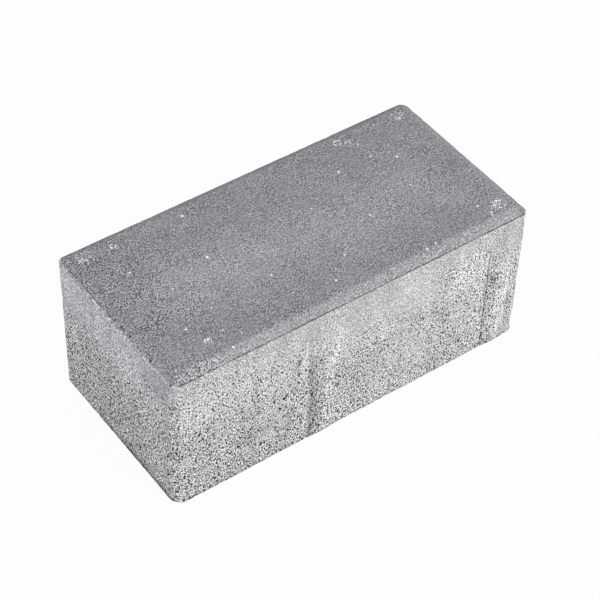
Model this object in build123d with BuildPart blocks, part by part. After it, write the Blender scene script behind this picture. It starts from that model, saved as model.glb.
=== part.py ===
from build123d import *
import os

# Rectangular concrete block paver, pressed in one piece.
# Millimetres, +Z up. The origin is the centre of the bed face, X runs along the length.

# Body
body_length = 198.0
body_width = 96.5
body_height = 81.0
corner_radius = 3.8

# Bevel round the wear face, and the soft edge where it meets the face
bevel_width = 4.8
bevel_depth = 3.2
plateau_corner_radius = 1.8
plateau_edge_radius = 2.4

# Spacer nibs on the two long sides, which keep the joint open for sand
nib_width = 15.0
nib_thickness = 1.2
nib_seat = 2.0
nib_clear_of_rim = 9.0
nib_lead_length = 16.0
nib_lead_thickness = 0.2
near_nib_from_middle = 18.5
far_nib_from_end = 14.5

rim_height = body_height - bevel_depth
side_y = -body_width / 2
nib_start_height = rim_height - nib_clear_of_rim
nib_full_height = nib_start_height - nib_lead_length
nib_places_x = [-near_nib_from_middle, body_length / 2 - far_nib_from_end]


def nib_outline(centre_x, thickness):
    """A low arch on the side's face, with a rectangular root let into the body."""
    left, right = centre_x - nib_width / 2, centre_x + nib_width / 2
    with BuildLine() as outline:
        ThreePointArc((left, side_y), (centre_x, side_y - thickness), (right, side_y))
        Polyline((right, side_y), (right, side_y + nib_seat), (left, side_y + nib_seat), (left, side_y))
    return outline.line


def nib_section(centre_x, height, thickness):
    """The nib's cross section at one height above the bed face."""
    with BuildSketch(Plane.XY.offset(height)) as section:
        with BuildLine():
            add(nib_outline(centre_x, thickness))
        make_face()
    return section.sketch


def make_nib(centre_x):
    """An upright rib of arched section that swells out of the side and then runs down to the bed face."""
    with BuildPart() as nib:
        extrude(nib_section(centre_x, 0, nib_thickness), amount=nib_full_height)
        loft([
            nib_section(centre_x, nib_full_height, nib_thickness),
            nib_section(centre_x, nib_start_height, nib_lead_thickness),
        ])
    return nib.part


nibs = [make_nib(x) for x in nib_places_x]

# The block: a straight sided body from the mould box, and the bevelled cap that the tamper presses
with BuildPart() as paving_stone:
    with BuildSketch():
        RectangleRounded(body_length, body_width, corner_radius)
    extrude(amount=rim_height)

    with BuildSketch(Plane.XY.offset(rim_height)) as rim:
        RectangleRounded(body_length, body_width, corner_radius)
    with BuildSketch(Plane.XY.offset(body_height)) as plateau:
        RectangleRounded(
            body_length - 2 * bevel_width,
            body_width - 2 * bevel_width,
            plateau_corner_radius,
        )
    loft(sections=[rim.sketch, plateau.sketch], ruled=True)
    wear_face = paving_stone.faces().sort_by(Axis.Z)[-1]
    fillet(wear_face.edges(), radius=plateau_edge_radius)

    # One long side, then the same turned half round for the other
    with PolarLocations(0, 2):
        for nib in nibs:
            add(nib)

os.makedirs("parts", exist_ok=True)
paving_stone.part.label = "paving_stone"
export_step(paving_stone.part, "parts/paving_stone.step")
print("volume", round(paving_stone.part.volume), "box", paving_stone.part.bounding_box().size)
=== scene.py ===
import bmesh
import bpy
import numpy as np
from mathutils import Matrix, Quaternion, Vector


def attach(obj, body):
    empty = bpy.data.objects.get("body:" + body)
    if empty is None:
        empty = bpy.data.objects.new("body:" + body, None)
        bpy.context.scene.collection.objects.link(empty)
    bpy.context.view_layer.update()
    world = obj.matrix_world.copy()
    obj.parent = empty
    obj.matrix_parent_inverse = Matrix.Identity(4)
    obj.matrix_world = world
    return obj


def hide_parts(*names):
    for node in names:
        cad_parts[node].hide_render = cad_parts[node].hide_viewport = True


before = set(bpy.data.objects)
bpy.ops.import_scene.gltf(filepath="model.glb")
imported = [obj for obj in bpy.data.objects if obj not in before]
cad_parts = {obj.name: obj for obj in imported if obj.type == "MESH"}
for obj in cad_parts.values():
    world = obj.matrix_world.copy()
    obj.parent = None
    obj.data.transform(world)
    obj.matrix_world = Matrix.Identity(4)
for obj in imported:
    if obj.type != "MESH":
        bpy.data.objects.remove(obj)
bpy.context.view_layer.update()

# Paving stone.
# One block of nearly dry concrete, pressed and shaken in a steel mould and pushed out of it. A skin of finer
# mix takes the wear; the sides below it are open and gritty, with two low spacer nibs on each long side.
mm = 0.001  # sizes are in mm, and make_piece turns them into metres
body_length, body_width, body_height = 198.0, 96.5, 81.0
corner_radius = 3.8
bevel_width, bevel_depth = 4.8, 3.2
plateau_corner_radius, plateau_edge_radius = 1.8, 2.4
rim_radius, foot_radius = 0.25, 0.15
rim_height = body_height - bevel_depth
bevel_lean = np.arctan2(bevel_width, bevel_depth)

nib_width, nib_thickness, nib_lead_thickness = 15.0, 1.2, 0.2
nib_start_height = rim_height - 9.0
nib_full_height = nib_start_height - 16.0
nib_foot_height, nib_foot_thickness = 5.0, 0.45
nib_centres = np.array([-18.5, body_length / 2 - 14.5])
nib_edges = np.concatenate([nib_centres - nib_width / 2, nib_centres + nib_width / 2])

long_steps, end_steps, corner_steps = 216, 104, 8


def walk_round():
    """The columns of the surface, once round the plan: how far along the straight part of each side a column
    stands, from -1 to 1 in x and in y, and the angle in the plan that it faces. The front, the right end and
    their corners come first, and the same turned half round after them."""
    straight_half = body_length / 2 - corner_radius
    crisp = np.concatenate([nib_edges - 0.45, nib_edges, nib_edges + 0.45]) / straight_half
    long_run = np.sort(np.concatenate([np.linspace(-1, 1, long_steps, endpoint=False), crisp, -crisp]))
    end_run = np.linspace(-1, 1, end_steps, endpoint=False)
    turn = np.linspace(0, np.pi / 2, corner_steps, endpoint=False)
    ones, far_corner = np.ones(len(end_run)), np.ones(corner_steps)
    along = np.concatenate([long_run, far_corner, ones, far_corner])
    across = np.concatenate([-np.ones(len(long_run)), -far_corner, end_run, far_corner])
    facing = np.concatenate([0 * long_run - np.pi / 2, turn - np.pi / 2, 0 * ones, turn])
    return (np.concatenate([along, -along]), np.concatenate([across, -across]),
            np.concatenate([facing, facing + np.pi]))


def walk_down():
    """The rows of the surface, from the middle of the wear face over the bevel and down the side to the
    middle of the bed: each row's distance in from the side, its height, its plan corner's radius and its
    lean, which is a quarter turn where it faces up, nought where it faces out and minus that facing down."""
    middle = body_width / 2
    edge = bevel_width + plateau_edge_radius * np.tan((np.pi / 2 - bevel_lean) / 2)
    rim_centre = rim_height - rim_radius * np.tan(bevel_lean / 2)

    wear_in = edge + (middle - edge) * np.linspace(1, 0, 23, endpoint=False) ** 1.7
    edge_lean = np.linspace(np.pi / 2, bevel_lean, 4)
    edge_in = edge - plateau_edge_radius * np.cos(edge_lean)
    edge_up = body_height - plateau_edge_radius * (1 - np.sin(edge_lean))
    rim_lean = np.linspace(bevel_lean, 0, 3)
    rim_in = rim_radius * (1 - np.cos(rim_lean))
    rim_up = rim_centre + rim_radius * np.sin(rim_lean)
    bevel_in = np.concatenate([np.linspace(edge_in[-1], 1.9, 5)[1:], np.linspace(1.9, rim_in[0], 8)[1:-1]])
    bevel_up = rim_height + bevel_in * bevel_depth / bevel_width
    side_up = np.linspace(rim_centre, foot_radius, 89)[1:-1]
    foot_lean = np.linspace(0, -np.pi / 2, 3)
    foot_in = foot_radius * (1 - np.cos(foot_lean))
    foot_up = foot_radius * (1 + np.sin(foot_lean))
    bed_in = foot_radius + (middle - foot_radius) * np.linspace(0, 1, 9)[1:] ** 1.8

    inset = np.concatenate([wear_in, edge_in, bevel_in, rim_in, 0 * side_up, foot_in, bed_in])
    height = np.concatenate([0 * wear_in + body_height, edge_up, bevel_up, rim_up, side_up, foot_up,
                             0 * bed_in])
    lean = np.concatenate([0 * wear_in + np.pi / 2, edge_lean, 0 * bevel_in + bevel_lean, rim_lean,
                           0 * side_up, foot_lean, 0 * bed_in - np.pi / 2])
    radius = np.where(height > rim_height,
                      np.interp(inset, [0, bevel_width, middle], [corner_radius, plateau_corner_radius, 0]),
                      np.interp(inset, [0, middle], [corner_radius, 0]))
    return inset, height, radius, lean


def ease(value, start, end):
    """Nought at start, one at end, and a smooth S between them."""
    t = np.clip((value - start) / (end - start), 0, 1)
    return t * t * (3 - 2 * t)


def bell(value, middle, half_width):
    """One at the middle, falling off smoothly to both sides."""
    return np.exp(-((value - middle) / half_width) ** 2)


def rolling(points, size, seed, detail=1):
    """Smooth noise from about -1 to 1: random values on a cubic lattice of that size, eased between the
    eight nearest, with further layers of half the size and half the height."""
    total = 0
    for layer in range(detail):
        lattice = np.random.default_rng(seed + 17 * layer).uniform(-1, 1, (64, 64, 64))
        place = points * 2 ** layer / size + 1000
        cell = np.floor(place).astype(int)
        part = place - cell
        part = part * part * (3 - 2 * part)
        value = 0
        for corner in np.ndindex(2, 2, 2):
            share = np.prod(np.where(corner, part, 1 - part), axis=-1)
            value = value + share * lattice[tuple(np.moveaxis((cell + corner) % 64, -1, 0))]
        total = total + value / 2 ** layer
    return total * 1.4


def voids(points, size, share, smallest, largest, seed):
    """Depth of round pits, nought to one: one ball to a cell of that size, in that share of the cells, at a
    random place and of a random radius. A point's depth is how far it is inside the deepest ball round it.
    """
    draw = np.random.default_rng(seed)
    offset = draw.uniform(0.1, 0.9, (48, 48, 48, 3))
    radius = draw.uniform(smallest, largest, (48, 48, 48)) * (draw.uniform(0, 1, (48, 48, 48)) < share)
    place = points / size + 1000
    cell = np.floor(place).astype(int)
    deepest = np.zeros(points.shape[:-1])
    for step in np.ndindex(3, 3, 3):
        near = cell + np.array(step) - 1
        slot = tuple(np.moveaxis(near % 48, -1, 0))
        distance = np.linalg.norm((place - near - offset[slot]) * size, axis=-1)
        deepest = np.maximum(deepest, 1 - distance / np.maximum(radius[slot], 1e-6))
    return np.sqrt(np.clip(deepest, 0, 1))


def blots(across, down, table):
    """Soft oval marks as a factor on the tone. A row of the table gives one mark's middle, how far below the
    rim it lies, its half width, its half height, and its change of tone there."""
    factor = 1
    for middle, depth, half_width, half_height, change in table:
        factor = factor * (1 + change * bell(across, middle, half_width) * bell(down, depth, half_height))
    return factor


# The block's surface: a column's place on the straight part of a side, set in by the row's inset, and from
# there the corner's radius in the direction that the column faces, at the row's height
along, across, facing = walk_round()
inset, height, radius, lean = (values[:, None] + 0 * along for values in walk_down())
surface = np.stack([(body_length / 2 - inset - radius) * along + radius * np.cos(facing),
                    (body_width / 2 - inset - radius) * across + radius * np.sin(facing), height], axis=-1)
outward = np.stack([np.cos(lean) * np.cos(facing), np.cos(lean) * np.sin(facing), np.sin(lean)], axis=-1)

# Where each point lies: how far below the rim, and how near to an arris, the rim, the foot or the bed
x, y, z = np.moveaxis(surface.copy(), -1, 0)
below_rim = rim_height - z
side = ease(inset, 1.6, 0.3) * ease(z, rim_height + 0.3, rim_height - 0.4)
from_corner = np.hypot(np.abs(x) - body_length / 2, np.abs(y) - body_width / 2)
at_arris = bell(np.maximum(from_corner - 1.2, 0), 0, 1.8) * side
at_rim = bell(np.hypot(inset, z - rim_height), 0, 1.0)
at_foot = bell(np.hypot(inset, z), 0, 1.2)
in_bed = np.exp(-inset / 4) * ease(lean, -1.2, -1.5)
on_bevel = ease(z, rim_height - 0.1, rim_height + 0.2)
in_front = ease(y, -body_width / 2 + 8, -body_width / 2 + 5)
at_end = ease(np.abs(x), body_length / 2 - 2.5, body_length / 2 - 0.8) * side
at_left = at_end * (x < 0)

# The nibs: a low arch across, fullest at half height, running out below the rim and worn at the foot
front = np.where(y < 0, 1, -1)
nib_height = np.interp(z, [0, nib_foot_height, nib_full_height, nib_start_height, nib_start_height + 2.5],
                       [nib_foot_thickness, nib_thickness, nib_thickness, nib_lead_thickness, 0])
nib_across = (x * front)[None] - nib_centres[:, None, None]
nib_arch = np.clip(1 - (nib_across / (nib_width / 2)) ** 2, 0, 1).max(axis=0)
long_side = (np.abs(across) == 1) & (np.abs(along) < 1) & (z < rim_height)
surface[..., 1] -= front * nib_height * nib_arch * long_side * ease(inset, 3.5, 0.9)

# The smooth skin of fine mix hangs over the top of the sides with a wavy lower edge
skin_depth = np.interp(x, [-95, -55, -30, 0, 22, 38, 52, 70, 77, 79, 88, 93],
                       [5, 7, 15, 20, 27, 28, 12, 8, 10, 22, 24, 20])
skin_depth += (np.interp(y, [-40, -20, 5, 40], [8, 10, 17, 20]) - skin_depth) * at_end
skin_depth = skin_depth + 3 * rolling(surface, 16, 3) + 4 * rolling(surface * [1, 1, 0.2], 5, 4, 2)
skin = ease(below_rim, skin_depth + 11, skin_depth - 9)

# Relief, as a depth below the mould's shape: drift of the steel, gritty grain, voids, and crumbled arrises
grit = side * (0.35 + 0.65 * (1 - skin))
drift = 0.04 * (1 + rolling(surface, 30, 11)) * side
grain = 0.1 * (1 + rolling(surface, 1.8, 12, 2) * 0.7) * grit
pits = voids(surface, 3.6, 0.22, 0.5, 1.0, 13) * (1 - 0.85 * skin) * side
chips = np.clip(rolling(surface, 2.6, 15, 2) - 0.25, 0, 1)
big_chips = np.clip(rolling(surface, 11, 16) - 0.6, 0, 1)
crumble = at_arris * (0.04 + 0.4 * chips + 0.6 * big_chips)
crumble += at_rim * (0.02 + 0.12 * chips) * (1 + 2.5 * at_left)
crumble += at_foot * (0.1 * chips + 0.15 * big_chips)
crumble += at_arris * 0.5 * ease(z, 18, 1) * in_front * (x > 0)
groove_at = np.where(x < -body_length / 2 + 4, 1.4, 0.3) + 0.12 * rolling(surface, 6, 22)
groove = bell(inset, groove_at, 0.25) * on_bevel * np.clip(0.14 + 0.1 * rolling(surface, 5, 17), 0, 1)
wear_drift = 0.04 * (1 + rolling(surface, 14, 18)) * ease(lean, 0.9, 1.3)
bed_grain = 0.25 * (1 + rolling(surface, 6, 19)) * in_bed
# and this one stone's own marks: a gouge by the near nib, a nick in the right arris, a hook-shaped scar
# beside the far nib, and a pit at its foot
gouge = 0.8 * bell(x, -31.8, 0.9) * bell(below_rim, 24, 2.4) * in_front
gouge_end = 0.8 * bell(x, -31.9, 0.8) * bell(below_rim, 31, 1.5) * in_front
nick = 1.4 * bell(x, body_length / 2, 2.4) * bell(below_rim, 43, 1.5) * in_front
hook = 0.5 * bell(x, 80, 1.3) * bell(below_rim, 34, 2.0) * in_front
foot_pit = 0.8 * bell(x, 77.2, 1.4) * bell(z, 1.5, 2.2) * in_front
marks = (gouge + gouge_end + hook + foot_pit) * side * (0.8 + 0.4 * rolling(surface, 2.2, 23))
depth = drift + grain + 0.55 * pits + crumble + groove + wear_drift + bed_grain + marks + nick
surface -= np.maximum(depth, 0)[..., None] * outward

# The foot of the corner nearest the eye is worn off: points outside a bulging cut are pushed in along the
# corner's diagonal until they lie on it
worn_corner = np.array([-body_length / 2, -body_width / 2, 0.0])
worn_reach, worn_bulge = np.array([7.0, 7.0, 6.0]), 0.68
push = np.zeros(surface.shape[:2])
for bit in 4.0 / 2 ** np.arange(1, 14):
    inwards = np.clip(surface - worn_corner + (push + bit)[..., None], 0, None)
    reach = ((inwards / worn_reach) ** worn_bulge).sum(axis=-1)
    push += bit * (reach < 1 + 0.05 * rolling(surface, 3, 21))
surface += push[..., None]

# Tone of the larger marks, as a factor on the colour. Blots on the front: place along x, depth below the
# rim, half width, half height, change
front_blots = [
    (-96, 43, 5, 3, -0.06), (-93, 20, 3, 8, 0.10), (-93, 28, 4, 5, 0.06), (-86, 43, 12, 2.5, -0.10),
    (-76, 34, 4, 3, -0.06), (-72, 54, 4, 6, -0.10), (-65, 77, 6, 2.5, -0.16), (-64, 52, 13, 22, -0.08),
    (-62, 29, 4, 5, -0.08), (-60, 30, 1.2, 9, 0.08), (-57, 12, 7, 5, 0.04), (-57, 30, 3, 3, -0.08),
    (-51, 56, 13, 8, -0.07), (-49, 28, 1.5, 8, 0.08), (-31, 29, 2.5, 6, -0.04), (-29.9, 24, 0.8, 2.5, 0.30),
    (-27, 32, 4, 4, 0.10), (-24, 7, 5, 5, -0.12), (-22, 55, 4, 10, -0.08), (-20, 27, 4, 6, -0.10),
    (-17.5, 70, 2.5, 8, 0.14), (-12, 42, 3, 16, 0.06), (-12, 44, 9, 15, -0.08), (-8.0, 18, 2.6, 12, 0.19),
    (-2, 42, 5, 9, -0.09), (2, 52, 10, 14, -0.05), (17, 24, 3, 9, 0.08), (17, 51, 8, 4, -0.05),
    (21, 17, 6, 6, 0.12), (36, 14, 14, 9, 0.05), (37, 35, 8, 4, -0.14), (37, 40, 4, 5, -0.05),
    (38, 10, 12, 10, 0.06), (50, 72, 5, 2.5, -0.12), (54, 38, 4, 3, -0.08), (57, 9, 6, 5, -0.08),
    (68, 18, 8, 10, 0.12), (78, 66, 8, 7, -0.08), (79, 33, 3, 4, -0.25), (84, 24, 4, 12, 0.05),
    (84.5, 30, 3, 5, 0.09), (88, 52, 4, 13, 0.10), (91, 6, 9, 9, -0.09)]
# and on the left end, with the place along y; partly painted shade, which makes the end darker towards its
# upper front corner
left_blots_and_shade = [
    (20, 13, 28, 8, 0.05), (40, 25, 4, 6, -0.10), (28, 33, 4, 6, -0.18), (16, 46, 14, 6, -0.14),
    (-4, 38, 3, 5, -0.12), (40, 38, 3, 4, 0.12), (28, 53, 5, 2.5, 0.12), (-14, 77, 7, 4, -0.24),
    (6, 68, 5, 4, -0.14), (-18, 62, 4, 4, -0.12), (-34, 7, 11, 14, -0.18), (-36, 36, 2, 14, -0.10),
    (1, 30, 8, 22, -0.06), (-41, 24, 4, 26, -0.06), (42, 6, 9, 8, 0.10), (-30, 14, 10, 12, -0.09),
    (12, 66, 14, 8, -0.07), (-28, 42, 12, 12, 0.06), (22, 14, 6, 4, 0.10), (17, 26, 6, 7, -0.08),
    (-10, 33, 3, 4, 0.10), (-21, 60, 4, 10, 0.10), (45, 28, 4, 30, 0.07), (34, 44, 7, 6, 0.06)]
# and on the wear face, with the places along x and along y
wear_blots = [
    (-50, 5, 24, 14, 0.13), (-84, -38, 14, 7, 0.10), (54, 35, 9, 7, -0.11), (-66, 20, 9, 6, 0.10),
    (-85, 8, 8, 14, 0.07), (45, -20, 30, 11, 0.05)]
blur = 2.0 * rolling(surface, 5, 31, 2)
tone = np.where(in_front * side > 0, blots(x + blur, below_rim - blur, front_blots), 1)
# The left end's blots are partly real marks and partly painted shade
tone = tone * (1 + (blots(y + blur, below_rim + blur, left_blots_and_shade) - 1) * at_left)
tone = tone * (1 + (blots(x, y, wear_blots) - 1) * on_bevel)
# Darker towards the foot, along the bottom edge, and most low on the front half of the left end; and on each
# nib painted shade and a painted highlight
foot_darkening = 0.07 * ease(below_rim, 24, 42) + 0.05 * ease(z, 6, 1) + 0.16 * bell(z, 0, 1.3)
foot_darkening += 0.36 * at_left * ease(z, 6, 1) * ease(y, 22, 6)
tone *= 1 - foot_darkening * side
# Painted shade along each nib's left flank and a painted highlight on its right half, as if the arch were
# lit from the right; strongest on the near nib
for edge, nib_shade in zip(nib_centres - nib_width / 2, (0.36, 0.08)):
    along_nib = x * front - edge
    nib_runs = ease(below_rim, 16, 30) * long_side * side
    tone *= 1 - nib_shade * ease(along_nib, -0.9, 0.1) * ease(along_nib, 7, 0.2) * nib_runs
    tone *= 1 + 0.10 * ease(along_nib, 6, 9) * ease(along_nib, 15, 12) * nib_runs
# The broken painted shadow line over the left end, the bevel painted lighter as its slope catches the lamps,
# painted shade on the back and right bevels, and the pale cloud in the wear face's middle
left_line = bell(inset, groove_at, 0.35) * on_bevel * (x < -body_length / 2 + 4)
tone *= 1 - left_line * np.clip(0.05 + 0.45 * rolling(surface, 2.5, 32), 0, 1) * ease(y, -10, 15)
# Painted light: the bevel lighter than the wear face, most on the front, where it leans towards the key lamp
bevel_painted_light = ease(inset, 7.0, 2.0) * on_bevel
tone *= 1 + bevel_painted_light * (0.06 + 0.13 * (facing == -np.pi / 2) + 0.08 * (x < -body_length / 2 + 5))
# Painted shade on the back and right bevels just inside the rim, which lean away from the lamps
tone *= 1 - 0.14 * bell(inset, 1.9, 1.2) * on_bevel * (np.maximum(x / body_length, y / body_width) > 0.47)
middle_cloud = ease(np.abs(x), 92, 68) * bell(y, -4, 19) * on_bevel
tone *= 0.97 + 0.17 * middle_cloud + 0.03 * rolling(surface, 12, 33, 2) * on_bevel
# Streaks that the mould has drawn down the sides as the block was pushed out
drawn = surface * [1, 1, 0.1]
streaks = 0.05 * rolling(drawn, 2.2, 41) + 0.05 * rolling(drawn, 6, 42)
tone *= 1 + side * (streaks + 0.04 * rolling(surface, 6, 43, 2))
tone *= 1 + 0.05 * bell(below_rim, 0.6, 0.6) * in_front * side
tone *= 1 - 0.08 * bell(x, -97, 2.4) * ease(below_rim, 50, 36) * in_front * side
tone *= 1 + at_left * (0.015 + 0.08 * ease(below_rim, 40, 8) + 0.04 * rolling(surface, 4, 44, 2))
# Painted shade: the thin dark line in the fine groove where the bevel meets the side, whole along the front
# and broken near its left end
rim_shadow_line = np.clip(0.9 + 0.3 * rolling(surface, 5, 45) - (x < -80) * (0.3 + 0.6 * rolling(surface, 3, 46)), 0, 1)
rim_shadow_line = rim_shadow_line * np.where(np.abs(x) > body_length / 2 - 3, 0.2, 1)
pit_tone = np.clip(pits * 1.2 + marks * 0.8, 0, 1)
# How strongly the grain shows: more towards the bed, and most on the left end
coarse = np.interp(z, [5, 20, 40, 55, 78], [1.26, 1.19, 1.12, 0.97, 0.94])
coarse += 0.1 * bell(x, -80, 35) - 0.1 * bell(x, 36, 20)
# Rougher and softer patches of it on the front: place along x, height, half width, half height, change
grain_patches = [
    (-90, 60, 14, 7, -0.18), (-88, 73, 14, 5, 0.25), (-45, 28, 9, 8, -0.10), (-5, 14, 20, 16, 0.14),
    (-4, 42, 14, 7, -0.12), (30, 26, 17, 16, -0.24), (44, 10, 8, 8, -0.10), (54, 66, 11, 8, 0.40),
    (4, 70, 12, 6, 0.15), (76, 18, 8, 30, 0.12), (87, 18, 6, 28, -0.20), (92, 40, 6, 6, 0.15)]
coarse *= 1 + (blots(x, z, grain_patches) - 1) * in_front
coarse += (np.interp(z, [5, 15, 30, 50, 60], [1.7, 1.65, 1.5, 1.35, 1.15]) - coarse) * at_left
coarse *= 1 + 0.15 * rolling(surface * [1, 1, 0.5], 9, 47)
wear_coarse = 1 + 0.4 * ease(x, -50, -80) * ease(y, -32, -14) - 0.15 * ease(inset, 6, 3)
wear_coarse = wear_coarse + 0.5 * bell(x, -86, 14) * bell(y, -46, 4)
coarse = np.where(z > rim_height, wear_coarse, coarse)


def make_piece(name, grid, values):
    """One closed mesh from a grid of rows and columns of points, joined round the columns, with the points
    that meet on the middle lines of its top and bed merged. The values are kept as attributes of the points.
    """
    rows, columns = grid.shape[:2]
    index = np.arange(rows * columns).reshape(rows, columns)
    beside = np.roll(index, -1, axis=1)
    faces = np.stack([index[:-1], index[1:], beside[1:], beside[:-1]], axis=-1).reshape(-1, 4)
    mesh = bpy.data.meshes.new(name)
    mesh.from_pydata((grid.reshape(-1, 3) * mm).tolist(), [], faces.tolist())
    for label, value in values.items():
        attribute = mesh.attributes.new(label, "FLOAT", "POINT")
        attribute.data.foreach_set("value", value.ravel().astype(np.float32))
    work = bmesh.new()
    work.from_mesh(mesh)
    bmesh.ops.remove_doubles(work, verts=work.verts, dist=0.02 * mm)
    bmesh.ops.dissolve_degenerate(work, edges=work.edges, dist=0.005 * mm)
    work.to_mesh(mesh)
    work.free()
    mesh.shade_smooth()
    piece = bpy.data.objects.new(name, mesh)
    bpy.context.scene.collection.objects.link(piece)
    return piece


# The middle lines of the wear face and of the bed lie level, so that both halves meet there
surface[0, :, 1:] = 0, body_height
surface[-1, :, 1:] = 0, 0
stone = make_piece("concrete_block", surface,
                   {"tone": tone, "pit": pit_tone, "skin": skin, "rim_shadow_line": rim_shadow_line, "coarse": coarse})


def add_node(tree, kind, inputs=None, **settings):
    """A shader node of that kind with its settings. An input is a socket to link from or a plain value."""
    node = tree.nodes.new(kind)
    for name, value in settings.items():
        setattr(node, name, value)
    for name, value in (inputs or {}).items():
        if isinstance(value, bpy.types.NodeSocket):
            tree.links.new(value, node.inputs[name])
        else:
            node.inputs[name].default_value = value
    return node


def math_of(tree, operation, *values):
    """The result of a Math node."""
    return add_node(tree, "ShaderNodeMath", dict(enumerate(values)), operation=operation).outputs[0]


def total_of(tree, base, *terms):
    """A base value with each term's value times its amount added to it."""
    for value, amount in terms:
        inputs = {0: value, 1: amount, 2: base}
        base = add_node(tree, "ShaderNodeMath", inputs, operation="MULTIPLY_ADD").outputs[0]
    return base


def product_of(tree, first, *others):
    """Values multiplied together."""
    for other in others:
        first = math_of(tree, "MULTIPLY", first, other)
    return first


def ramp_of(tree, value, start, end, low=0.0, high=1.0):
    """A value mapped from its range to low and high with a smooth S, and held beyond it."""
    inputs = {"Value": value, "From Min": start, "From Max": end, "To Min": low, "To Max": high}
    return add_node(tree, "ShaderNodeMapRange", inputs, interpolation_type="SMOOTHSTEP").outputs["Result"]


def mix_of(tree, share, first, second):
    """Two colours mixed by a share."""
    inputs = {"Factor": share, 6: first, 7: second}
    return add_node(tree, "ShaderNodeMix", inputs, data_type="RGBA").outputs[2]


def start_group(name, inputs, outputs):
    """An empty node group with a place vector, the named values going in and the named values coming out."""
    group = bpy.data.node_groups.new(name, "ShaderNodeTree")
    group.interface.new_socket("Place", in_out="INPUT", socket_type="NodeSocketVector")
    for label in inputs:
        group.interface.new_socket(label, in_out="INPUT", socket_type="NodeSocketFloat")
    for label in outputs:
        group.interface.new_socket(label, in_out="OUTPUT", socket_type="NodeSocketFloat")
    return group, group.nodes.new("NodeGroupInput").outputs, group.nodes.new("NodeGroupOutput").inputs


def make_cement():
    """Node group for the cloudy tone of cement paste: a fractal noise whose coarsest lumps have that size,
    from 0 to 1, with its slope set by the contrast."""
    group, entry, leave = start_group("cement", ["Size", "Contrast"], ["Tone"])
    scale = math_of(group, "DIVIDE", 1.0, entry["Size"])
    noise = add_node(group, "ShaderNodeTexNoise",
                     {"Vector": entry["Place"], "Scale": scale, "Detail": 2.0, "Roughness": 0.6})
    centred = math_of(group, "SUBTRACT", noise.outputs["Fac"], 0.5)
    steep = total_of(group, 0.5, (centred, entry["Contrast"]))
    group.links.new(ramp_of(group, steep, 0.0, 1.0), leave["Tone"])
    return group


def make_sand():
    """Node group for packed sand: cells of that size on the face, each one grain of its own brightness that
    is brightest at its middle. The dome is 1 at a grain's middle and 0 where it meets the next."""
    group, entry, leave = start_group("sand", ["Size"], ["Grain", "Dome"])
    scale = math_of(group, "DIVIDE", 1.0, entry["Size"])
    cells = add_node(group, "ShaderNodeTexVoronoi", {"Vector": entry["Place"], "Scale": scale},
                     voronoi_dimensions="2D")
    draw = add_node(group, "ShaderNodeSeparateColor", {"Color": cells.outputs["Color"]}).outputs
    dome = ramp_of(group, cells.outputs["Distance"], 0.75, 0.0)
    group.links.new(product_of(group, dome, total_of(group, 0.3, (draw["Red"], 1.4))), leave["Grain"])
    group.links.new(dome, leave["Dome"])
    return group


def make_pores():
    """Node group for small voids: cells of that size on the face, a share of which hold a round pit of its
    own width and darkness, and the raised lip of sand round it. Both run from 0 to 1."""
    group, entry, leave = start_group("pores", ["Size", "Share", "Radius"], ["Pit", "Lip"])
    scale = math_of(group, "DIVIDE", 1.0, entry["Size"])
    cells = add_node(group, "ShaderNodeTexVoronoi", {"Vector": entry["Place"], "Scale": scale},
                     voronoi_dimensions="2D")
    draw = add_node(group, "ShaderNodeSeparateColor", {"Color": cells.outputs["Color"]}).outputs
    held = math_of(group, "LESS_THAN", draw["Green"], entry["Share"])
    radius = product_of(group, entry["Radius"], total_of(group, 0.65, (draw["Red"], 0.35)))
    away = math_of(group, "DIVIDE", cells.outputs["Distance"], radius)
    depth = total_of(group, 0.6, (draw["Blue"], 0.4))
    group.links.new(product_of(group, ramp_of(group, away, 1.15, 0.75), held, depth), leave["Pit"])
    lip = product_of(group, ramp_of(group, away, 0.9, 1.2), ramp_of(group, away, 1.9, 1.2), held)
    group.links.new(lip, leave["Lip"])
    return group


cement, sand, pores = make_cement(), make_sand(), make_pores()


def cement_of(tree, place, size, contrast):
    """The cement group's tone at that size."""
    inputs = {"Place": place, "Size": size, "Contrast": contrast}
    return add_node(tree, "ShaderNodeGroup", inputs, node_tree=cement).outputs["Tone"]


def sand_of(tree, place, size):
    """The sand group with grains of that size."""
    return add_node(tree, "ShaderNodeGroup", {"Place": place, "Size": size}, node_tree=sand).outputs


def pores_of(tree, place, size, share, radius):
    """The pores group at that size, share of cells and radius as a share of the cell."""
    inputs = {"Place": place, "Size": size, "Share": share, "Radius": radius}
    return add_node(tree, "ShaderNodeGroup", inputs, node_tree=pores).outputs


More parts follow.
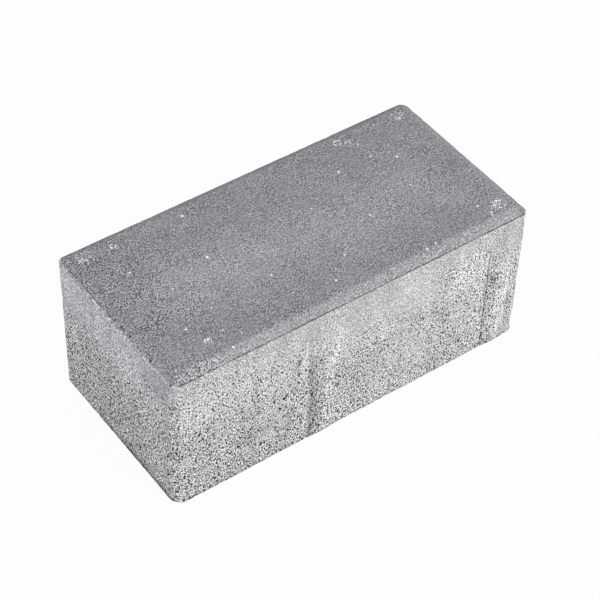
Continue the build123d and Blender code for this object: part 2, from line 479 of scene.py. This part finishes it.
# Pale stones that show in the wear face: x, y and radius
pale_stones = [
    (-71.5, -34.2, 0.7), (-37.8, 37.6, 1.0), (-43.2, 8.8, 0.9), (39.8, 21.8, 0.9), (69.5, 15.1, 0.8),
    (-75.5, 37.8, 0.8), (-4.0, -35.9, 0.8), (-75.8, -23.6, 0.7), (-26.0, -17.0, 0.65), (34.3, -10.5, 0.65),
    (59.0, 22.3, 0.65), (53.2, 39.9, 0.6), (-77.3, 19.8, 0.6), (8.8, -25.0, 0.6), (-63.0, -33.1, 0.45),
    (59.2, 32.4, 0.6), (-11.3, 21.2, 0.55), (74.3, 39.9, 0.6), (68.5, 19.8, 0.5), (-24.4, -31.6, 0.55),
    (-45.7, 32.1, 0.5), (14.4, 8.4, 0.5), (-67.0, 0.7, 0.5), (-92.9, -41.7, 0.5), (79.3, -33.5, 0.6),
    (42.1, -42.9, 0.8), (47.5, -42.1, 0.7), (81.9, -40.4, 0.7), (81.2, -41.9, 0.6), (88.8, -35.6, 0.6),
    (-64.7, -43.7, 0.7), (91.6, -11.9, 0.5), (-59.5, -18.9, 0.45), (-64.0, -46.0, 0.5), (-57.0, -38.8, 0.5),
    (0.1, -30.0, 0.45), (62.5, -4.3, 0.5)]
# Stones of which only the rim has broken through: x, y and radius
ringed_stones = [(-71.7, -34.6, 1.9), (51.6, 38.9, 2.3), (-74.6, 38.4, 1.6)]
# Pale scuffs, most of them at its corners: x, y and radius
scuffs = [(-89.3, 39.2, 5.8), (87.5, 38.8, 5.0), (88.0, -37.7, 6.2), (56.0, 36.0, 4.0)]

# Single dark pits: x, y, z and radius, on the front and then along the left rim
dark_pits = [
    (-31.7, -47.5, 55.2, 1.5), (-31.9, -47.5, 53.2, 1.4), (-31.9, -47.5, 46.6, 1.4),
    (-10.8, -48.1, 33.5, 1.3), (-9.7, -48.1, 26.5, 1.4), (4.6, -48.1, 52.6, 1.1), (79.2, -48.4, 47.0, 1.1),
    (80.0, -48.6, 45.0, 1.2), (81.3, -48.9, 45.6, 1.0), (82.4, -48.9, 48.0, 1.1), (77.3, -48.5, 2.0, 1.6),
    (-97.7, 3.8, 78.6, 0.8), (-97.6, 0.3, 78.8, 0.8), (-97.3, -5.0, 78.9, 1.0), (-97.1, -12.0, 79.0, 0.9),
    (-97.6, -29.0, 78.6, 1.0), (-98.0, -45.3, 78.5, 0.8), (-97.5, 20.4, 78.8, 0.7)]
# Upright scratches on the front: x, the heights of their ends, half width. Pale ones the mould has scraped,
pale_scratches = [(-27.9, 54, 67, 0.45), (-16.6, 22, 48, 0.5), (-9.9, 48, 69, 0.5), (-12.0, 41, 48, 0.4),
                  (86.0, 8, 40, 0.4), (89.0, 12, 36, 0.4), (83.5, 20, 45, 0.35)]
# and dark ones where it has torn the surface; the longest, along the left edge of the far nib, is painted
# shade in the crease where the nib rises
dark_scratches_and_crease_shade = [(77.1, 2, 67, 0.5), (79.2, 57, 64, 0.35), (91.0, 8, 30, 0.4)]


def scratches_of(tree, place, scratches):
    """The strongest of several upright scratches on the front, each 1 on its line, 0 at its half width."""
    along, across, height = add_node(tree, "ShaderNodeSeparateXYZ", {0: place}).outputs
    strongest = 0.0
    for x, low, high, half_width in scratches:
        off = math_of(tree, "ABSOLUTE", math_of(tree, "SUBTRACT", along, x))
        scratch = product_of(tree, ramp_of(tree, height, low - 1.0, low + 2.0),
                             ramp_of(tree, height, high + 1.0, high - 2.0),
                             ramp_of(tree, off, half_width, 0.3 * half_width))
        strongest = math_of(tree, "MAXIMUM", scratch, strongest)
    return product_of(tree, strongest, ramp_of(tree, across, -46.0, -47.0))


def spots_of(tree, place, spots, core):
    """The deepest of several round spots, each 0 at its radius and 1 inside that share of it."""
    deepest = 0.0
    for spot_x, spot_y, spot_z, radius in spots:
        inputs = {0: place, 1: (spot_x, spot_y, spot_z)}
        distance = add_node(tree, "ShaderNodeVectorMath", inputs, operation="DISTANCE").outputs["Value"]
        deepest = math_of(tree, "MAXIMUM", ramp_of(tree, distance, radius, core * radius), deepest)
    return deepest


def rings_of(tree, place, rings):
    """The brightest of several round rims on the wear face, each 0 at its radius and at the hollow in it."""
    brightest = 0.0
    for ring_x, ring_y, radius in rings:
        inputs = {0: place, 1: (ring_x, ring_y, body_height)}
        distance = add_node(tree, "ShaderNodeVectorMath", inputs, operation="DISTANCE").outputs["Value"]
        rim = product_of(tree, ramp_of(tree, distance, radius, 0.85 * radius),
                         ramp_of(tree, distance, 0.45 * radius, 0.75 * radius))
        brightest = math_of(tree, "MAXIMUM", rim, brightest)
    return brightest


def faces_of(tree, place):
    """The place laid flat on the face it is on, in mm across and along it, with each face set well apart
    from the others: on the wear face and the bed x and y, on the long sides x and z, on the ends y and z.
    The way up counts 0.75 of its length and in the second place 0.7, which draws a pattern out upright, as
    the mould drags the mix."""
    x, y, z = add_node(tree, "ShaderNodeSeparateXYZ", {0: place}).outputs
    past_end = math_of(tree, "SUBTRACT", math_of(tree, "ABSOLUTE", x), body_length / 2)
    past_side = math_of(tree, "SUBTRACT", math_of(tree, "ABSOLUTE", y), body_width / 2)
    on_end = math_of(tree, "GREATER_THAN", past_end, past_side)
    level = math_of(tree, "MAXIMUM", math_of(tree, "GREATER_THAN", z, rim_height - 0.05),
                    math_of(tree, "LESS_THAN", z, 0.1))
    long_u = total_of(tree, x, (math_of(tree, "SIGN", y), 300.0))
    end_u = total_of(tree, y, (math_of(tree, "SIGN", x), 700.0))
    side_u = add_node(tree, "ShaderNodeMix", {0: on_end, 2: long_u, 3: end_u}).outputs[0]
    across = add_node(tree, "ShaderNodeMix", {0: level, 2: side_u, 3: x}).outputs[0]
    up = add_node(tree, "ShaderNodeMix", {0: level, 2: z, 3: y}).outputs[0]
    drawn_ups = [math_of(tree, "MULTIPLY", up, drawn) for drawn in (0.75, 0.7)]
    return [add_node(tree, "ShaderNodeCombineXYZ", {0: across, 1: drawn_up}).outputs[0]
            for drawn_up in drawn_ups]


# The mixes' colours, and in mm their sand grains and the cells that their pores stand in
side_cement, skin_cement = (0.478, 0.467, 0.467, 1), (0.437, 0.434, 0.443, 1)
wear_cement, front_bevel_cement = (0.306, 0.303, 0.323, 1), (0.308, 0.306, 0.315, 1)
fine_sand, side_sand = 0.66, 0.62
small_pore_cell, large_pore_cell = 1.4, 4.1
small_pore_radius, large_pore_radius, large_pore_share = 0.33, 0.17, 0.3
pore_wander = 1.2


def make_concrete():
    """Concrete in three mixes: the dark fine wear face, the smooth pale skin at the top of the sides, and
    the open gritty mix below. Each has its own sand and pores, and their relief goes to one Bump."""
    material = bpy.data.materials.new("moulded_concrete")
    material.use_nodes = True
    tree = material.node_tree
    shader = tree.nodes["Principled BSDF"]
    shader.inputs["Specular IOR Level"].default_value = 0.25

    metres = tree.nodes.new("ShaderNodeTexCoord").outputs["Object"]
    inputs = {0: metres, "Scale": 1000.0}
    place = add_node(tree, "ShaderNodeVectorMath", inputs, operation="SCALE").outputs[0]
    along, across, height = add_node(tree, "ShaderNodeSeparateXYZ", {0: place}).outputs
    face, drawn_out = faces_of(tree, place)
    tone, pit, skin, rim_shadow_line, coarse = (
        add_node(tree, "ShaderNodeAttribute", attribute_name=name).outputs["Fac"]
        for name in ("tone", "pit", "skin", "rim_shadow_line", "coarse"))
    fines, grains = sand_of(tree, face, fine_sand), sand_of(tree, drawn_out, side_sand)
    paste, lump, cloud, bloom = (cement_of(tree, place, size, contrast) for size, contrast in
                                 ((1.4, 3.5), (3.2, 2.5), (26.0, 2.5), (9.0, 3.0)))
    over_rim = math_of(tree, "SUBTRACT", height, ramp_of(tree, along, -95.0, -96.5, 0.0, 0.55))
    wear = ramp_of(tree, over_rim, rim_height - 0.08, rim_height + 0.05)
    crowding = ramp_of(tree, cement_of(tree, drawn_out, 9.0, 3.0), 0.0, 1.0, 0.75, 1.0)
    # The pores stand on a place that wanders a little, which makes their outlines ragged
    noise = add_node(tree, "ShaderNodeTexNoise", {"Vector": place, "Scale": 1.0, "Detail": 1.0})
    shift = add_node(tree, "ShaderNodeVectorMath", {0: noise.outputs["Color"], 1: (0.5, 0.5, 0.5)},
                     operation="SUBTRACT").outputs[0]
    inputs = {0: shift, 1: (pore_wander, pore_wander, 0.0), 2: drawn_out}
    ragged = add_node(tree, "ShaderNodeVectorMath", inputs, operation="MULTIPLY_ADD").outputs[0]
    small = pores_of(tree, ragged, small_pore_cell, crowding, small_pore_radius)
    large = pores_of(tree, ragged, large_pore_cell, large_pore_share, large_pore_radius)
    large_pit = product_of(tree, large["Pit"], ramp_of(tree, along, -40.0, 10.0, 1.0, 0.55))

    # Sides: pale cement, darker in the gritty mix, with dark pits and sand
    open_mix = product_of(tree, ramp_of(tree, skin, 0.0, 1.0, 1.0, 0.3), coarse,
                          ramp_of(tree, height, 60.0, 20.0, 1.0, 0.96))
    side_colour = mix_of(tree, skin, side_cement, skin_cement)
    side_pits = product_of(tree, math_of(tree, "MAXIMUM", small["Pit"], large_pit), open_mix)
    side_lips = product_of(tree, math_of(tree, "MAXIMUM", small["Lip"], large["Lip"]), open_mix)
    single = product_of(tree, spots_of(tree, place, dark_pits, 0.4), 0.75)
    # Torn surface, and painted shade in the crease at the far nib's left edge
    torn_and_crease_shade = product_of(tree, scratches_of(tree, place, dark_scratches_and_crease_shade),
                      ramp_of(tree, paste, 0.1, 0.6, 0.3, 0.7))
    scraped = scratches_of(tree, place, pale_scratches)
    side_pits = product_of(tree, side_pits, ramp_of(tree, scraped, 0.0, 1.0, 1.0, 0.2))
    pit = math_of(tree, "MAXIMUM", math_of(tree, "MAXIMUM", single, torn_and_crease_shade), pit)
    side_dark = math_of(tree, "MINIMUM", math_of(tree, "MAXIMUM", side_pits, pit), 0.95)
    side_grain = product_of(tree, math_of(tree, "SUBTRACT", grains["Grain"], 0.5),
                            ramp_of(tree, height, 60.0, 20.0, 1.1, 1.32), coarse)
    side_value = total_of(tree, ramp_of(tree, skin, 0.0, 1.0, 1.255, 1.18), (side_grain, 1.0),
                          (side_lips, 0.5), (cloud, 0.06), (scraped, 0.35))
    side_value = math_of(tree, "MAXIMUM", side_value, 0.25)
    side_value = product_of(tree, side_value, math_of(tree, "SUBTRACT", 1.0, side_dark))

    # Wear face: fine dark sand with a violet cast, a few pale stones, and pale scuffs
    stone_places = [(x, y, body_height, size) for x, y, size in pale_stones]
    scuff_places = [(x, y, body_height, size) for x, y, size in scuffs]
    rings = product_of(tree, rings_of(tree, place, ringed_stones),
                       ramp_of(tree, paste, 0.25, 0.5, 0.25, 0.9))
    stones = math_of(tree, "MAXIMUM", spots_of(tree, place, stone_places, 0.6), rings)
    scuffed = product_of(tree, spots_of(tree, place, scuff_places, 0.2), ramp_of(tree, paste, 0.3, 0.7))
    coarser = product_of(tree, ramp_of(tree, bloom, 0.1, 0.9, 0.72, 1.1), coarse)
    wear_grain = product_of(tree, math_of(tree, "SUBTRACT", fines["Grain"], 0.5), coarser)
    wear_value = total_of(tree, 1.0, (wear_grain, 1.0), (cloud, 0.06))
    wear_value = total_of(tree, wear_value, (product_of(tree, stones, ramp_of(tree, paste, -0.3, 0.3)), 2.3),
                          (product_of(tree, scuffed, fines["Grain"]), 2.4))

    # Painted shade of the groove along the rim, in a thin band of the bevel, taken with the dark pits of the
    # wear face
    on_rim_shadow = product_of(tree, ramp_of(tree, height, rim_height, rim_height + 0.08),
                         ramp_of(tree, height, rim_height + 0.42, rim_height + 0.26), rim_shadow_line)
    value = add_node(tree, "ShaderNodeMix", {0: wear, 2: side_value, 3: wear_value}).outputs[0]
    pits_and_rim_shadow = math_of(tree, "MAXIMUM", product_of(tree, single, wear), product_of(tree, on_rim_shadow, 0.75))
    value = product_of(tree, value, math_of(tree, "SUBTRACT", 1.0, pits_and_rim_shadow))
    wear_colour = mix_of(tree, ramp_of(tree, across, -42.0, -45.0), wear_cement, front_bevel_cement)
    mixes = mix_of(tree, wear, side_colour, wear_colour)
    colour = add_node(tree, "ShaderNodeVectorMath", {0: mixes, "Scale": product_of(tree, value, tone)},
                      operation="SCALE").outputs[0]
    tree.links.new(colour, shader.inputs["Base Color"])
    tree.links.new(ramp_of(tree, fines["Grain"], 0.0, 1.0, 0.95, 0.78), shader.inputs["Roughness"])

    side_relief = total_of(tree, 0.0, (grains["Dome"], 0.3), (lump, 0.08), (side_pits, -1.2))
    wear_relief = total_of(tree, 0.0, (fines["Dome"], 0.15))
    relief = add_node(tree, "ShaderNodeMix", {0: wear, 2: side_relief, 3: wear_relief}).outputs[0]
    bump = add_node(tree, "ShaderNodeBump", {"Height": relief, "Distance": 0.35 * mm, "Strength": 1.0})
    tree.links.new(bump.outputs["Normal"], shader.inputs["Normal"])
    return material


stone.data.materials.append(make_concrete())
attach(stone, "root")
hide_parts("paving_stone")

# Floor.
# A plain pale sheet under the stone. The eye sees it nearly white; the light sees plain pale grey.
floor_half, floor_drop = 3.0, 0.02 * mm
floor_mesh = bpy.data.meshes.new("floor")
floor_corners = np.array([[-1, -1, 0], [1, -1, 0], [1, 1, 0], [-1, 1, 0]]) * floor_half
floor_mesh.from_pydata((floor_corners - [0, 0, floor_drop]).tolist(), [], [(0, 1, 2, 3)])
floor = bpy.data.objects.new("floor", floor_mesh)
bpy.context.scene.collection.objects.link(floor)
floor_paint = bpy.data.materials.new("pale_floor")
floor_paint.use_nodes = True
paint = floor_paint.node_tree
paint.nodes["Principled BSDF"].inputs["Base Color"].default_value = (0.8, 0.8, 0.8, 1)
paint.nodes["Principled BSDF"].inputs["Roughness"].default_value = 0.9
paint.nodes["Principled BSDF"].inputs["Specular IOR Level"].default_value = 0.0
rays = paint.nodes.new("ShaderNodeLightPath").outputs
seen = math_of(paint, "MAXIMUM", rays["Is Camera Ray"],
               math_of(paint, "MAXIMUM", rays["Is Glossy Ray"], rays["Is Transmission Ray"]))
white = add_node(paint, "ShaderNodeEmission", {"Color": (1, 1, 1, 1), "Strength": 1.0})
blend = add_node(paint, "ShaderNodeMixShader", {0: math_of(paint, "MULTIPLY", seen, 0.95),
                                                1: paint.nodes["Principled BSDF"].outputs[0],
                                                2: white.outputs[0]})
paint.links.new(blend.outputs[0], paint.nodes["Material Output"].inputs["Surface"])
floor_mesh.materials.append(floor_paint)

# Light.
# A pale studio: even light from all round, a large soft lamp in front and to the right, a weaker one left.
room_strength = 0.62
world = bpy.data.worlds.new("studio")
bpy.context.scene.world = world
world.use_nodes = True
room = world.node_tree
rays = room.nodes.new("ShaderNodeLightPath").outputs
seen = math_of(room, "MAXIMUM", rays["Is Camera Ray"],
               math_of(room, "MAXIMUM", rays["Is Glossy Ray"], rays["Is Transmission Ray"]))
strength = math_of(room, "ADD", room_strength, math_of(room, "MULTIPLY", seen, 1 - room_strength))
room.links.new(strength, room.nodes["Background"].inputs["Strength"])
room.nodes["Background"].inputs["Color"].default_value = (1, 1, 1, 1)


def add_lamp(name, azimuth, elevation, distance, size, power, colour=(1, 1, 1)):
    """A square soft lamp that looks at the stone from an azimuth, turned from the front towards the right,
    and an elevation."""
    lamp = bpy.data.lights.new(name, "AREA")
    lamp.size, lamp.energy, lamp.color = size, power, colour
    holder = bpy.data.objects.new(name, lamp)
    turn, rise = np.radians(azimuth), np.radians(elevation)
    toward = Vector((np.sin(turn) * np.cos(rise), -np.cos(turn) * np.cos(rise), np.sin(rise)))
    holder.location = toward * distance + Vector((0, 0, 0.04))
    holder.rotation_euler = toward.to_track_quat("Z", "Y").to_euler()
    bpy.context.scene.collection.objects.link(holder)


add_lamp("key_lamp", 35, 24, 1.5, 0.9, 14.0)
add_lamp("side_lamp", -80, 25, 1.5, 0.9, 5.0, (0.91, 0.94, 1.07))

# Camera.
# Stands where the photograph was taken from: found from the block's corners and edges.
eye = Vector((-390.91, -523.65, 697.41)) * mm
aim = Vector((0.76, -3.29, 38.36)) * mm
roll = np.radians(1.925)
camera_data = bpy.data.cameras.new("camera")
camera_data.lens = 117.95
camera_data.sensor_width = 36.0
camera = bpy.data.objects.new("camera", camera_data)
camera.location = eye
camera.rotation_mode = "QUATERNION"
camera.rotation_quaternion = (aim - eye).to_track_quat("-Z", "Y") @ Quaternion((0, 0, 1), roll)
bpy.context.scene.collection.objects.link(camera)
bpy.context.scene.camera = camera

bpy.context.scene.view_settings.view_transform = "Standard"
